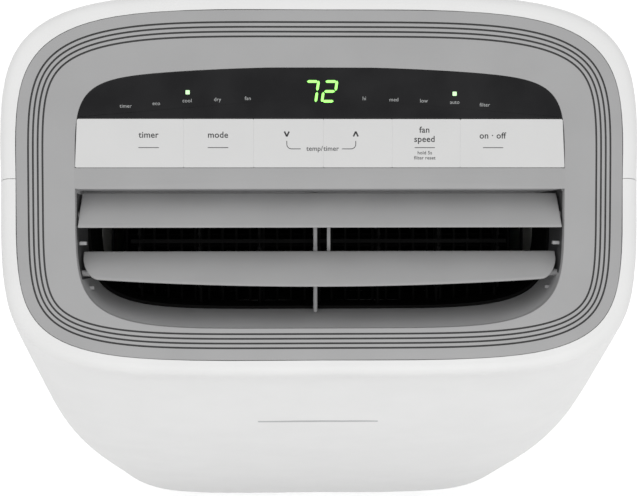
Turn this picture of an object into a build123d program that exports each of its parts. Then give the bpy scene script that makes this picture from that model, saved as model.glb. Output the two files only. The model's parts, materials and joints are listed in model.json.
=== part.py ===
from build123d import *
from math import cos, pi, radians, sin, sqrt, tan
import os

# A floor-standing portable room air conditioner on four swivel casters.
# Row frame: +X to the user's right, +Y to the back, +Z up. The origin is on the floor, under the middle.
# The slanted top carries the control panel and the air outlet with its two louvre blades.
# All sizes are in millimetres.

# ---- Housing ----
parting_y = -35.0  # the front and rear shells meet on this upright plane
parting_gap = 0.5
shell_wall = 3.0
base_radius = 10.0  # rounding of the housing's bottom edge
lip_top = 59.0  # the shells turn in here, and the base pan's rim rests on them
rim_radius = 9.0  # rounding of the housing's top rim
front_power = 5.0  # squareness of the panel's front half
back_power = 4.4  # squareness of every back half
# Cross-sections from the base to the rim: height on the parting plane, tilt about X,
# half width, reach to the back, reach to the front and squareness of the front half.
body_rows = [
    (66.0, 0.0, 213.0, 202.0, -132.5, 6.4),
    (170.0, 0.0, 225.0, 211.0, -141.3, 6.4),
    (300.0, 0.0, 233.5, 215.0, -146.5, 6.4),
    (440.0, 6.0, 237.0, 205.0, -149.0, 6.2),
    (570.0, 14.0, 235.5, 171.0, -146.0, 5.7),
    (686.3, 22.0, 234.0, 138.8, -142.3, 5.1),
]
# ---- Top panel, in its own plane: u to the right, v up the slope, w outwards ----
panel_tilt = 22.0
panel_origin = (0.0, -40.0, 694.0)
panel_half_width = 221.0
panel_half_length = 127.5
panel_plate = 3.0
panel_depth = 7.0
skirt_inset = 7.5
panel_gap = 0.25
groove_insets = (8.9, 12.35, 15.8, 19.25)
groove_width = 1.3
groove_depth = 1.0
flange_depth = 6.0  # thickness of the shells' rim flange under the panel
# The control window, the keys and the air outlet share one rounded outline.
field_half_width = 178.5
field_back = 86.3
field_front = -104.2
field_back_power = 4.6
field_front_power = 5.4
window_bottom = 48.9
keys_top = 48.6
keys_bottom = 13.4
outlet_top = -2.2
control_floor = -3.4  # the keys' and window's shelf
key_thickness = 2.2
key_seam = 0.3
key_names = ("timer", "mode", "temp_down", "temp_up", "fan_speed", "power")
key_centres = (-125.0, -74.5, -23.3, 27.0, 76.9, 126.5)
key_stem_v = 31.0
key_stem_radius = 2.0
lamp_places = (
    (-141.0, 64.0),
    (-118.4, 65.7),
    (-96.6, 67.3),
    (-74.7, 68.2),
    (-51.4, 68.8),
    (32.4, 68.8),
    (54.3, 68.2),
    (76.2, 67.3),
    (98.7, 66.6),
    (120.6, 64.8),
)
digit_place = (2.7, 68.0)
digit_size = (36.0, 22.0)
board_top = -13.4
board_thickness = 1.6
# ---- Air outlet ----
surround_wall = 2.5
throat_half_width = 174.0
throat_top = -6.0
throat_bottom = -91.0
throat_depth = -42.0
duct_bottom = -98.0
blade_pivots = (-20.8, -64.1)
blade_pivot_depth = -14.0
blade_lip = (-8.8, 13.2)  # the blade's outer edge, from its pivot
blade_heel = (16.2, -5.3)  # the blade's inner edge, from its pivot
blade_crown = 1.5
blade_thickness = 2.2
blade_pin_radius = 2.4
link_pin = (-6.0, -13.0)  # the link's pin, from the blade's pivot
link_u = (5.2, 7.6)
link_pin_radius = 1.3
vane_places = tuple(46.5 * k for k in range(-3, 4))
vane_v = (-78.0, -12.0)
vane_w = (-86.0, -58.0)
vane_axis_w = -72.0
vane_thickness = 1.6
vane_pin_radius = 1.6
rod_v = -42.0
rod_w = -60.0
rod_pin_radius = 1.0
running_gap = 0.06  # radial clearance of every turning fit
# ---- Rear openings ----
upper_window = (330.0, 235.0, 572.5)  # width, height and centre height
lower_window = (300.0, 160.0, 172.0)
cover_gap = 0.4
exhaust_centre = (-80.0, 366.0)
exhaust_bore = 62.0
exhaust_end_y = 183.5
# ---- Base and casters ----
pan_bottom = 46.0
pan_top = 84.0
pan_outline = (199.0, 188.5, -119.0)
caster_places = {"front_left": (-160.0, -112.0), "front_right": (160.0, -112.0),
                 "rear_left": (-160.0, 106.0), "rear_right": (160.0, 106.0)}
wheel_radius = 15.5
wheel_width = 15.0
caster_trail = 12.0
stem_radius = 4.0
# ---- Fans ----
blower_axis = (-46.0, 512.0)
blower_radius = 48.0
blower_length = 320.0
fan_centre = (-75.0, 195.0)
fan_radius = 72.0
shaft_radius = 4.0
# ---- Refrigeration ----
compressor_place = (112.0, -45.0)
compressor_radius = 58.0
partition_z = 434.0

low = Align.MIN
mid = Align.CENTER
panel_plane = Plane(
    origin=panel_origin,
    x_dir=(1, 0, 0),
    z_dir=(0, -sin(radians(panel_tilt)), cos(radians(panel_tilt))),
)


def block(x, y, z):
    """A box from its (low, high) limits along each axis."""
    return Pos(x[0], y[0], z[0]) * Box(x[1] - x[0], y[1] - y[0], z[1] - z[0], align=(low, low, low))


def rod_along_x(radius, x, y, z):
    return Pos(x[0], y, z) * Rot(0, 90, 0) * Cylinder(radius, x[1] - x[0], align=(mid, mid, low))


def rod_along_y(radius, x, y, z):
    return Pos(x, y[0], z) * Rot(-90, 0, 0) * Cylinder(radius, y[1] - y[0], align=(mid, mid, low))


def rod_along_z(radius, x, y, z):
    return Pos(x, y, z[0]) * Cylinder(radius, z[1] - z[0], align=(mid, mid, low))


def superellipse(half_width, back, front, back_exponent=back_power, front_exponent=front_power, steps=8):
    """Face of |x/a|^n + |y/b|^n = 1, with its own reach and power at the front and the back."""
    points = []
    for i in range(steps):
        turn = pi / 2 * i / steps
        points.append((half_width * sin(turn) ** (2 / front_exponent), front * cos(turn) ** (2 / front_exponent)))
    for i in range(steps):
        turn = pi / 2 * i / steps
        points.append((half_width * cos(turn) ** (2 / back_exponent), back * sin(turn) ** (2 / back_exponent)))
    points.append((0.0, back))
    right = Spline(*points, tangents=[(1, 0), (-1, 0)])
    return make_face([right, mirror(right, about=Plane.YZ)])


def body_section(row, inset, rise=0.0):
    """A section of the housing, moved by rise along its own normal; its widest line stays on the parting plane."""
    height, tilt, half_width, back, front, power = row
    angle = radians(tilt)
    plane = Plane(
        origin=(0, parting_y, height + rise / cos(angle)),
        x_dir=(1, 0, 0),
        z_dir=(0, -sin(angle), cos(angle)),
    )
    shift = rise * tan(angle)
    return plane * superellipse(half_width - inset, back - inset - shift, front + inset - shift, back_power, power)


def round_inset(radius, rise):
    """How far a rounded edge has drawn in at this rise above the start of its arc."""
    return radius - sqrt(max(0.0, radius**2 - rise**2))


def housing_solid(inset):
    sections = []
    for share in (1.0, 0.9, 0.6):
        rise = base_radius * share
        sections.append(body_section(body_rows[0], inset + round_inset(base_radius, rise), -rise))
    sections += [body_section(row, inset) for row in body_rows]
    for share in (0.6, 0.9, 1.0):
        rise = rim_radius * share
        sections.append(body_section(body_rows[-1], inset + round_inset(rim_radius, rise), rise))
    return loft(sections)


def panel_slab(inset, top, bottom):
    """The panel's outline drawn in by inset, between two depths."""
    face = superellipse(panel_half_width - inset, panel_half_length - inset, -panel_half_length + inset)
    return Pos(0, 0, bottom) * extrude(face, top - bottom)


def field_slab(growth, top, bottom):
    face = superellipse(
        field_half_width + growth, field_back + growth, field_front - growth, field_back_power, field_front_power
    )
    return Pos(0, 0, bottom) * extrude(face, top - bottom)


def half_space_above(depth):
    return panel_plane * Pos(0, 0, depth) * Box(900, 900, 400, align=(mid, mid, low))


def window_prism(window, shrink, y=(60.0, 260.0)):
    width, height, centre = window
    face = Plane.XZ * RectangleRounded(width - 2 * shrink, height - 2 * shrink, 12.0)
    return Pos(0, y[1], centre) * extrude(face, y[1] - y[0])


def ring_along_y(outer, inner, x, y, z):
    return rod_along_y(outer, x, y, z) - rod_along_y(inner, x, (y[0] - 1, y[1] + 1), z)


def pan_face(growth):
    half_width, back, front = pan_outline
    return superellipse(half_width + growth, back + growth, front - growth)


# ---- Housing shells and what fills their openings ----
handle_box = {"y": (-25.0, 80.0), "z": (578.0, 622.0), "x": 196.0}
drain_place = (60.0, 74.0)
gland_place = (130.0, 310.0)
screw_places = [(side * 130.0, z) for side in (-1, 1) for z in (275.0, 712.0)]


def handle_opening(grow, depth_x):
    y0, y1 = handle_box["y"]
    z0, z1 = handle_box["z"]
    right = block((depth_x, 260.0), (y0 - grow, y1 + grow), (z0 - grow, z1 + grow))
    return [right, mirror(right, about=Plane.YZ)]


def make_housing():
    """The two shells, the two intake grilles and the carrying handles, all cut from one housing solid."""
    solid = housing_solid(0.0)
    hollow = housing_solid(shell_wall) - half_space_above(-flange_depth)
    hollow -= block((-300, 300), (-300, 300), (0, lip_top))
    pan_hole = Pos(0, parting_y, pan_bottom) * extrude(pan_face(0.5), 26)
    shell = solid - hollow - pan_hole
    shell -= panel_plane * panel_slab(-panel_gap, 10.0, -panel_plate)
    shell -= panel_plane * panel_slab(skirt_inset - panel_gap, 10.0, -flange_depth - 10.0)
    front = shell & block((-400, 400), (-400, parting_y - parting_gap / 2), (0, 900))
    rear = shell & block((-400, 400), (parting_y + parting_gap / 2, 400), (0, 900))
    bosses = []
    screws = []
    for x, z in screw_places:
        wall_y = (rod_along_y(0.1, x, (0, 300), z) & solid).bounding_box().max.Y
        bosses.append((rod_along_y(7.0, x, (wall_y - 16, wall_y + 20), z) & solid, x, z, wall_y))
        head = rod_along_y(3.7, x, (wall_y - 3.2, wall_y - 1.0), z)
        head -= block((x - 2.8, x + 2.8), (wall_y - 1.8, wall_y), (z - 0.5, z + 0.5))
        head -= block((x - 0.5, x + 0.5), (wall_y - 1.8, wall_y), (z - 2.8, z + 2.8))
        screws.append(head + rod_along_y(1.9, x, (wall_y - 15, wall_y - 3.2), z))
    grilles = {}
    pitch, columns = 9.0, 2  # of the slots
    for name, window in (("upper_grille", upper_window), ("lower_grille", lower_window)):
        cover = rear & window_prism(window, cover_gap)
        width, height, centre = window
        bay = (width - 20.0) / columns
        rows = int((height - 20.0) / pitch)
        slot = Box(bay - 5.0, 200.0, 4.6)
        cutter = Compound(children=[
            Pos((c - (columns - 1) / 2) * bay, 160.0, centre + (r - (rows - 1) / 2) * pitch) * slot
            for c in range(columns) for r in range(rows)
        ])
        grilles[name] = cover - cutter
        rear -= window_prism(window, 0.0)
    rear -= rod_along_y(exhaust_bore + 3.3, exhaust_centre[0], (120, 260), exhaust_centre[1])
    rear -= handle_opening(0.3, 190.0)
    rear -= rod_along_y(7.3, drain_place[0], (140, 200), drain_place[1])
    rear -= rod_along_y(10.1, gland_place[0], (130, 200), gland_place[1])
    for boss, x, z, wall_y in bosses:
        rear = rear + boss
        rear -= rod_along_y(4.2, x, (wall_y - 3.2, wall_y + 10), z)
        rear -= rod_along_y(2.0, x, (wall_y - 40, wall_y + 10), z)
    handles = []
    for opening, inner in zip(handle_opening(0.0, handle_box["x"]), handle_opening(-4.0, handle_box["x"] + 4.0)):
        handles.append((opening & solid) - inner)
    return {
        "front_shell": front,
        "rear_shell": rear,
        "side_handles": Compound(children=handles),
        "housing_screws": Compound(children=screws),
        **grilles,
    }


# ---- Control panel ----
def key_limits():
    """Left and right edge of each key: seams midway between neighbours, the end keys run to the outline."""
    seams = [(a + b) / 2 for a, b in zip(key_centres, key_centres[1:])]
    edges = [-200.0, *seams, 200.0]
    return [(edges[i] + key_seam / 2, edges[i + 1] - key_seam / 2) for i in range(len(key_centres))]


def make_top_panel():
    panel = panel_slab(0.0, 0.0, -panel_plate) + panel_slab(skirt_inset, -panel_plate, -panel_depth)
    for inset in groove_insets:
        ring = panel_slab(inset - groove_width / 2, 1.0, -groove_depth) - panel_slab(
            inset + groove_width / 2, 2.0, -groove_depth - 1
        )
        panel -= ring
    controls = field_slab(0.15, 2.0, control_floor) & block((-200, 200), (keys_bottom - 0.2, 200), (-10, 10))
    outlet = field_slab(0.0, 2.0, -panel_depth - 2) & block((-200, 200), (-200, outlet_top), (-20, 10))
    panel -= controls
    panel -= outlet
    through = [rod_along_z(key_stem_radius + 0.6, x, key_stem_v, (-20, 5)) for x in key_centres]
    through += [Pos(u, v, -10) * Box(3.8, 3.8, 20) for u, v in lamp_places]
    through.append(Pos(digit_place[0], digit_place[1], -10) * Box(digit_size[0] + 2, digit_size[1] + 2, 20))
    for hole in through:
        panel -= hole
    return panel_plane * panel


def make_display_window():
    window = field_slab(0.0, 0.0, control_floor) & block((-200, 200), (window_bottom, 200), (-10, 10))
    return panel_plane * window


def make_keys():
    strip = field_slab(0.0, 0.0, -key_thickness) & block((-200, 200), (keys_bottom, keys_top), (-10, 10))
    keys = {}
    for name, centre, (left, right) in zip(key_names, key_centres, key_limits()):
        cap = strip & block((left, right), (-200, 200), (-10, 10))
        stem = rod_along_z(key_stem_radius, centre, key_stem_v, (-8.6, -key_thickness))
        keys["key_" + name] = panel_plane * (cap + stem)
    return keys


def make_display_board():
    """Circuit board with a push switch under each key and its connector."""
    board = block((-150, 150), (12, 79), (board_top - board_thickness, board_top))
    switches = [
        block((x - 3, x + 3), (key_stem_v - 3, key_stem_v + 3), (board_top, board_top + 2.6))
        + rod_along_z(1.7, x, key_stem_v, (board_top + 2.6, board_top + 3.5))
        for x in key_centres
    ]
    connector = block((-12, 12), (16, 22), (board_top, board_top + 5))
    return panel_plane * Compound(children=[board, connector, *switches])


def make_display_lamps():
    """The two-digit module and the ten indicator lamps, standing on the board."""
    u, v = digit_place
    across, along = digit_size[0] / 2, digit_size[1] / 2
    module = block((u - across, u + across), (v - along, v + along), (board_top, -3.7))
    lamps = [block((x - 1.5, x + 1.5), (y - 1.5, y + 1.5), (board_top, -3.7)) for x, y in lamp_places]
    return panel_plane * Compound(children=[module, *lamps])


# ---- Air outlet ----
def outlet_face(half_width, top, bottom, steps=8):
    """Straight along the top, superellipse round the bottom."""
    reach = bottom - top
    points = []
    for i in range(steps + 1):
        turn = pi / 2 * i / steps
        down = cos(turn) ** (2 / field_front_power) if i < steps else 0.0
        points.append((half_width * sin(turn) ** (2 / field_front_power), top + reach * down))
    right = Spline(*points, tangents=[(1, 0), (0, 1)])
    return make_face([right, mirror(right, about=Plane.YZ), Line((half_width, top), (-half_width, top))])


def make_outlet_surround():
    """Tapered recess behind the panel's opening, with the blade bearings and the upright centre bar."""
    wall = surround_wall
    outer = loft([
        Pos(0, 0, -panel_depth) * outlet_face(field_half_width + wall, outlet_top + wall, field_front - wall),
        Pos(0, 0, throat_depth) * outlet_face(throat_half_width + wall, throat_top + wall, throat_bottom - wall),
    ])
    inner = loft([
        Pos(0, 0, -panel_depth) * outlet_face(field_half_width, outlet_top, field_front),
        Pos(0, 0, throat_depth) * outlet_face(throat_half_width, throat_top, throat_bottom),
    ])
    bar = block((-5.0, -2.0), (-120, 20), (throat_depth, throat_depth + 11)) & outer
    surround = (outer - inner) + bar
    for v in blade_pivots:
        surround -= rod_along_x(blade_pin_radius + running_gap, (-250, -150), v, blade_pivot_depth)
        surround -= rod_along_x(blade_pin_radius + running_gap, (150, 250), v, blade_pivot_depth)
    return panel_plane * surround


def blade_section(pivot_v):
    """Crowned strip between the heel and the lip, drawn in the v-w plane."""
    lip = Vector(blade_lip[0] + pivot_v, blade_lip[1] + blade_pivot_depth)
    heel = Vector(blade_heel[0] + pivot_v, blade_heel[1] + blade_pivot_depth)
    chord = (heel - lip).normalized()
    outward = Vector(-chord.Y, chord.X)
    middle = (lip + heel) / 2 + outward * blade_crown
    back = outward * -blade_thickness
    face = make_face([
        ThreePointArc(lip, middle, heel),
        Line(heel, heel + back),
        ThreePointArc(heel + back, middle + back, lip + back),
        Line(lip + back, lip),
    ])
    return face, lip, chord, outward


def along_u(face, u):
    """Extrudes a face drawn as (v, w) along u."""
    plane = Plane(origin=(u[0], 0, 0), x_dir=(0, 1, 0), z_dir=(1, 0, 0))
    return plane * extrude(face, u[1] - u[0])


def blade_lug(pivot_v, lip, chord, outward, u, pin):
    """Flat ear from the blade's back to a pin that stands at pin = (v, w) from the pivot."""
    foot = -0.2
    tip = Vector(pivot_v + pin[0], blade_pivot_depth + pin[1])
    near = lip + chord * 8.0 + outward * foot
    far = lip + chord * 20.0 + outward * foot
    face = make_face([Line(near, far), Line(far, tip), Line(tip, near)])
    return along_u(face, u) + rod_along_x(3.0, u, tip.X, tip.Y)


def make_blades():
    """The two louvre blades and the link that keeps them in step."""
    outlines = {
        "louvre_upper": [(-174.9, -4), (174.9, -4), (176.6, -31), (-176.6, -31)],
        "louvre_lower": None,
    }
    parts = {}
    for name, pivot_v in zip(outlines, blade_pivots):
        face, lip, chord, outward = blade_section(pivot_v)
        blade = along_u(face, (-177.5, 177.5))
        if outlines[name]:
            limit = make_face(Polyline(*outlines[name], close=True))
        else:
            limit = make_face([
                Line((-172.9, -40), (172.9, -40)),
                Line((172.9, -40), (172.9, -50)),
                Spline((172.9, -50), (170.2, -60.5), (163.5, -68.3), tangents=[(0, -1), (-1, -0.16)]),
                ThreePointArc((163.5, -68.3), (0, -74.4), (-163.5, -68.3)),
                Spline((-163.5, -68.3), (-170.2, -60.5), (-172.9, -50), tangents=[(-1, 0.16), (0, 1)]),
                Line((-172.9, -50), (-172.9, -40)),
            ])
        blade &= Pos(0, 0, -40) * extrude(limit, 80)
        if name == "louvre_lower":
            blade -= block((2.0, 9.0), (pivot_v + 7.0, pivot_v + 30), (-40, 10))
        for side in (-1, 1):
            ear = (163.5, 165.5) if side > 0 else (-165.5, -163.5)
            reach = (165.5, 181.0) if side > 0 else (-181.0, -165.5)
            blade += blade_lug(pivot_v, lip, chord, outward, ear, (0.0, 0.0))
            blade += rod_along_x(blade_pin_radius, reach, pivot_v, blade_pivot_depth)
        blade += blade_lug(pivot_v, lip, chord, outward, (link_u[0] - 2.6, link_u[0] - 0.3), link_pin)
        blade += rod_along_x(
            link_pin_radius, (link_u[0] - 0.3, link_u[1] + 0.6), pivot_v + link_pin[0], blade_pivot_depth + link_pin[1]
        )
        parts[name] = panel_plane * blade
    w = blade_pivot_depth + link_pin[1]
    ends = [v + link_pin[0] for v in blade_pivots]
    link = block(link_u, (ends[1], ends[0]), (w - 1.8, w + 1.8))
    for v in ends:
        link += rod_along_x(2.6, link_u, v, w)
    for v in ends:
        link -= rod_along_x(link_pin_radius + running_gap, (0, 12), v, w)
    parts["louvre_link"] = panel_plane * link
    return parts


def make_outlet_duct():
    """Channel from the blower to the louvres, with the vane bearings and an upright finger guard at its mouth."""
    wall = surround_wall
    outer = Pos(0, 0, duct_bottom) * extrude(
        outlet_face(throat_half_width + wall, throat_top + wall, throat_bottom - wall), throat_depth - duct_bottom
    )
    inner = Pos(0, 0, duct_bottom - 1) * extrude(
        outlet_face(throat_half_width, throat_top, throat_bottom), throat_depth - duct_bottom + 2
    )
    duct = outer - inner
    for u in vane_places:
        duct -= Pos(u, -50, vane_axis_w) * Rot(90, 0, 0) * Cylinder(vane_pin_radius + running_gap, 120)
    bars = [
        Pos(u, -48, duct_bottom + 2) * Box(1.6, 130, 4)
        for u in [-165 + 11.0 * i for i in range(31)]
    ]
    guard = Compound(children=bars) & outer
    return panel_plane * (duct + guard)


def make_vanes():
    parts = {}
    for number, u in enumerate(vane_places, 1):
        vane = block((u - vane_thickness / 2, u + vane_thickness / 2), vane_v, vane_w)
        vane -= block((u - 5, u + 5), (rod_v - 4.5, rod_v + 4.5), (rod_w - 5.5, 0))
        vane += Pos(u, rod_v, rod_w) * Rot(90, 0, 0) * Cylinder(rod_pin_radius, 9.6)
        vane += Pos(u, -48.5, vane_axis_w) * Rot(90, 0, 0) * Cylinder(vane_pin_radius, 93.0)
        for end in (rod_v - 5.5, rod_v + 5.5):
            vane += Pos(u, end, rod_w) * Box(2.6, 2.0, 4.0)
        parts[f"vane_{number}"] = panel_plane * vane
    rod = block((-146, 146), (rod_v - 1.5, rod_v + 1.5), (rod_w - 2, rod_w + 2))
    for u in vane_places:
        rod -= Pos(u, rod_v, rod_w) * Rot(90, 0, 0) * Cylinder(rod_pin_radius + running_gap, 20)
    parts["vane_rod"] = panel_plane * rod
    return parts


# ---- Air path, upper half: filter, evaporator, cross-flow blower ----
def make_filter(width, height):
    """Framed mesh, drawn flat about the origin: frame, cross ribs and a thin screen."""
    frame = Box(width, height, 4.0) - Box(width - 12, height - 12, 10.0)
    ribs = [Pos(x, 0, 0) * Box(2.0, height - 12, 3.0) for x in (-width / 4, 0, width / 4)]
    ribs += [Pos(0, y, 0) * Box(width - 12, 2.0, 3.0) for y in (-height / 6, height / 6)]
    return frame + ribs + Box(width - 11, height - 11, 0.6)


filter_slope = 13.2
upper_filter_plane = Plane(
    origin=(0, 117.5, 572.5),
    x_dir=(1, 0, 0),
    z_dir=(0, -cos(radians(filter_slope)), -sin(radians(filter_slope))),
)
lower_filter_plane = Plane(origin=(0, 146.5, 172.0), x_dir=(1, 0, 0), z_dir=(0, -1, 0))


def make_filters():
    return {
        "upper_filter": upper_filter_plane * make_filter(322.0, 232.0),
        "lower_filter": lower_filter_plane * make_filter(292.0, 152.0),
    }


def make_bend(tube_radius, bend_radius, side, place):
    """Half ring in the x-z plane that bulges towards side."""
    profile = Plane(origin=(0, 0, bend_radius), x_dir=(0, 1, 0), z_dir=(1, 0, 0)) * Circle(tube_radius)
    return Pos(*place) * revolve(profile, Axis((0, 0, 0), (0, side, 0)), 180)


def make_coil(centre, length, depth, height, rows, pitch, tube_radius=4.0):
    """Fin stack and two serpentine tube columns of a finned coil; both open ends of a column are on the right."""
    columns = [-depth / 4, depth / 4]
    levels = [(r - (rows - 1) / 2) * height / rows for r in range(rows)]
    plain = Rectangle(depth, height)
    for y in columns:
        for z in levels:
            plain -= Pos(y, z) * Circle(tube_radius + 0.05)
    upright = Plane(origin=(0, 0, 0), x_dir=(0, 1, 0), z_dir=(1, 0, 0))
    fin = extrude(upright * plain, 0.8)
    end_plate = extrude(upright * plain, 1.6)
    count = int((length - 12) / pitch)
    fins = [Pos((i - (count - 1) / 2) * pitch, 0, 0) * fin for i in range(count)]
    fins += [Pos(-length / 2, 0, 0) * end_plate, Pos(length / 2 - 1.6, 0, 0) * end_plate]
    tube_end = length / 2 + 3
    bend_radius = height / rows / 2
    tubes = []
    for y in columns:
        run = [rod_along_x(tube_radius, (-tube_end, tube_end), y, z) for z in levels]
        for r in range(rows - 1):
            side = 1 if r % 2 else -1
            run.append(make_bend(tube_radius, bend_radius, side, (side * tube_end, y, (levels[r] + levels[r + 1]) / 2)))
        tubes.append(Part() + run)
    place = Pos(*centre)
    return place * Compound(children=fins), place * Compound(children=tubes)


evaporator_centre = (0.0, 65.0, 550.0)
evaporator_size = (330.0, 40.0, 200.0)
condenser_centre = (0.0, 115.0, 181.0)
condenser_size = (320.0, 46.0, 190.0)
coil_rows = 8


def make_coils():
    evaporator_fins, evaporator_tubes = make_coil(evaporator_centre, *evaporator_size, coil_rows, 8.0)
    condenser_fins, condenser_tubes = make_coil(condenser_centre, *condenser_size, coil_rows, 8.0)
    return {
        "evaporator_fins": evaporator_fins,
        "evaporator_tubes": evaporator_tubes,
        "condenser_fins": condenser_fins,
        "condenser_tubes": condenser_tubes,
    }


def around_blower(radius, degrees):
    y, z = blower_axis
    return (y + radius * cos(radians(degrees)), z + radius * sin(radians(degrees)))


def panel_point(v, w):
    """World (y, z) of a point given in the panel's own (v, w)."""
    angle = radians(panel_tilt)
    return (
        panel_origin[1] + v * cos(angle) - w * sin(angle),
        panel_origin[2] + v * sin(angle) + w * cos(angle),
    )


def make_blower():
    """Cross-flow blower: scroll guide, wheel on its shaft and the motor at the right end."""
    guide_steps = range(-75, -216, -14)
    grow = [52.0 + 14.0 * i / (len(guide_steps) - 1) for i in range(len(guide_steps))]
    inner = [around_blower(r, a) for r, a in zip(grow, guide_steps)]
    outer = [around_blower(r + 2.5, a) for r, a in zip(grow, guide_steps)]
    front_inner = panel_point(throat_bottom, duct_bottom)
    front_outer = panel_point(throat_bottom - 2.5, duct_bottom)
    guide = make_face([
        Spline(*inner),
        Line(inner[-1], front_inner),
        Line(front_inner, front_outer),
        Line(front_outer, outer[-1]),
        Spline(*reversed(outer)),
        Line(outer[0], inner[0]),
    ])
    back_inner = panel_point(throat_top, duct_bottom)
    back_outer = panel_point(throat_top + 2.5, duct_bottom)
    tongue = around_blower(52.0, 40.0)
    tongue_outer = (tongue[0] + 2.5, tongue[1])
    back = make_face(Polyline(back_inner, tongue, tongue_outer, back_outer, close=True))
    cheek = make_face(Polyline(
        front_outer, outer[-1], around_blower(68.0, 180.0), around_blower(64.0, 215.0), (-98.0, partition_z + 3),
        (4.0, partition_z + 3), (6.0, 520.0), back_outer, close=True,
    ))
    plane = Plane(origin=(0, 0, 0), x_dir=(0, 1, 0), z_dir=(1, 0, 0))
    casing = Pos(-174, 0, 0) * extrude(plane * guide, 348) + Pos(-174, 0, 0) * extrude(plane * back, 348)
    for x in (-176.5, 174.0):
        casing += Pos(x, 0, 0) * extrude(plane * cheek, 2.5)
    y, z = blower_axis
    casing -= rod_along_x(shaft_radius + running_gap, (-200, 200), y, z)
    half = blower_length / 2
    pieces = [rod_along_x(blower_radius, (x - 1.2, x + 1.2), y, z)
              for x in (-half, -half / 2, 0.0, half / 2, half)]
    blades = []
    for i in range(24):
        blades.append(Pos(0, y, z) * Rot(i * 15, 0, 0) * Pos(0, 0, 42) * Rot(28, 0, 0) * Box(blower_length, 1.4, 10))
    wheel = Part() + pieces + blades + rod_along_x(shaft_radius, (-181, 205), y, z)
    motor = rod_along_x(39, (176.5, 213), y, z) + rod_along_x(14, (213, 218), y, z)
    for turn in (45, 135, 225, 315):
        motor += Pos(179, y, z) * Rot(turn, 0, 0) * Pos(0, 0, 42) * Box(5, 12, 12)
    motor -= rod_along_x(shaft_radius + running_gap, (170, 206), y, z)
    for turn in range(0, 360, 30):
        motor -= Pos(205, y, z) * Rot(turn, 0, 0) * Pos(0, 0, 39) * Box(24, 5, 3)
    return {"blower_casing": casing, "blower_wheel": wheel, "blower_motor": motor}


# ---- Base, lower half: pan, compressor, condenser fan, exhaust ----
def make_base(inside):
    """Drip pan with caster sockets, coil saddles and drain tube, and the plug that closes the tube."""
    pan = Pos(0, parting_y, pan_bottom) * extrude(pan_face(0.0), pan_top - pan_bottom)
    pan += (Pos(0, parting_y, lip_top) * extrude(superellipse(230, 220, -150), 3.0)) & inside
    pan -= Pos(0, parting_y, pan_bottom + 3) * extrude(pan_face(-3.0), pan_top)
    for x, y in caster_places.values():
        pan += rod_along_z(9.0, x, y, (pan_bottom, 72.0))
        pan -= rod_along_z(stem_radius + running_gap, x, y, (pan_bottom - 5, 70.0))
    for x in (-120, 120):
        pan += block((x - 8, x + 8), (97, 133), (pan_bottom + 2, condenser_centre[2] - condenser_size[2] / 2))
    for x in (-120, -30):
        pan += block((x - 15, x + 15), (-75, -40), (pan_bottom + 2, 140)) - rod_along_y(
            84.0, fan_centre[0], (-120, 20), fan_centre[1]
        )
    pan += rod_along_y(7.0, drain_place[0], (148, 168.5), drain_place[1])
    pan -= rod_along_y(4.5 + running_gap, drain_place[0], (140, 175), drain_place[1])
    cap = rod_along_y(11.0, drain_place[0], (171.0, 174.0), drain_place[1])
    cap += rod_along_y(4.5, drain_place[0], (154, 171.0), drain_place[1])
    cap += block((drain_place[0] - 7, drain_place[0] + 7), (174.0, 178.0), (drain_place[1] - 1.5, drain_place[1] + 1.5))
    return {"base_pan": pan, "drain_cap": cap}


def make_gland():
    x, z = gland_place
    flange = rod_along_y(13.0, x, (178.3, 180.8), z)
    body = rod_along_y(9.8, x, (156, 178.3), z)
    nut = Pos(x, 164, z) * Rot(90, 0, 0) * extrude(RegularPolygon(13.0, 6), 5)
    relief = Pos(x, 180.8, z) * Rot(-90, 0, 0) * Cone(8.0, 6.0, 2.5, align=(mid, mid, low))
    return (flange + body + nut + relief) - rod_along_y(4.2, x, (150, 190), z)


def make_compressor():
    x, y = compressor_place
    r = compressor_radius
    profile = make_face([
        Line((0, 67), (0, 300)),
        Spline((0, 300), (32, 293), (r, 268), tangents=[(1, 0), (0, -1)]),
        Line((r, 268), (r, 100)),
        Spline((r, 100), (40, 75), (28, 67), tangents=[(0, -1), (-1, -0.2)]),
        Line((28, 67), (0, 67)),
    ])
    shell = Pos(x, y, 0) * revolve(Plane.XZ * profile, Axis.Z)
    plate = rod_along_z(72, x, y, (64, 67))
    accumulator = Pos(x, 37, 0) * revolve(Plane.XZ * make_face([
        Line((0, 108), (0, 240)),
        Spline((0, 240), (8, 239), (20, 222), tangents=[(1, 0), (0, -1)]),
        Line((20, 222), (20, 126)),
        Spline((20, 126), (8, 109), (0, 108), tangents=[(0, -1), (-1, 0)]),
    ]), Axis.Z)
    neck = rod_along_y(5, x, (y, 37), 140)
    strap = block((x - 12, x + 12), (0, 25), (205, 217))
    terminal = block((x - 18, x + 18), (y - r - 16, y - 40), (210, 250))
    stub = rod_along_z(5, x, y, (290, 306))
    compressor = shell + plate + accumulator + neck + strap + terminal + stub
    mounts = []
    for turn in (90, 210, 330):
        mx, my = x + 60 * cos(radians(turn)), y + 60 * sin(radians(turn))
        mounts.append(rod_along_z(9, mx, my, (pan_bottom + 3, 55)) + rod_along_z(6.5, mx, my, (55, 59))
                      + rod_along_z(9, mx, my, (59, 64)))
    return {"compressor": compressor, "compressor_mounts": Compound(children=mounts)}


def sweep_line(radius, bend, *points):
    path = FilletPolyline(*points, radius=bend)
    profile = Plane(origin=path @ 0, z_dir=path % 0) * Circle(radius)
    return sweep(profile, path)


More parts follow.
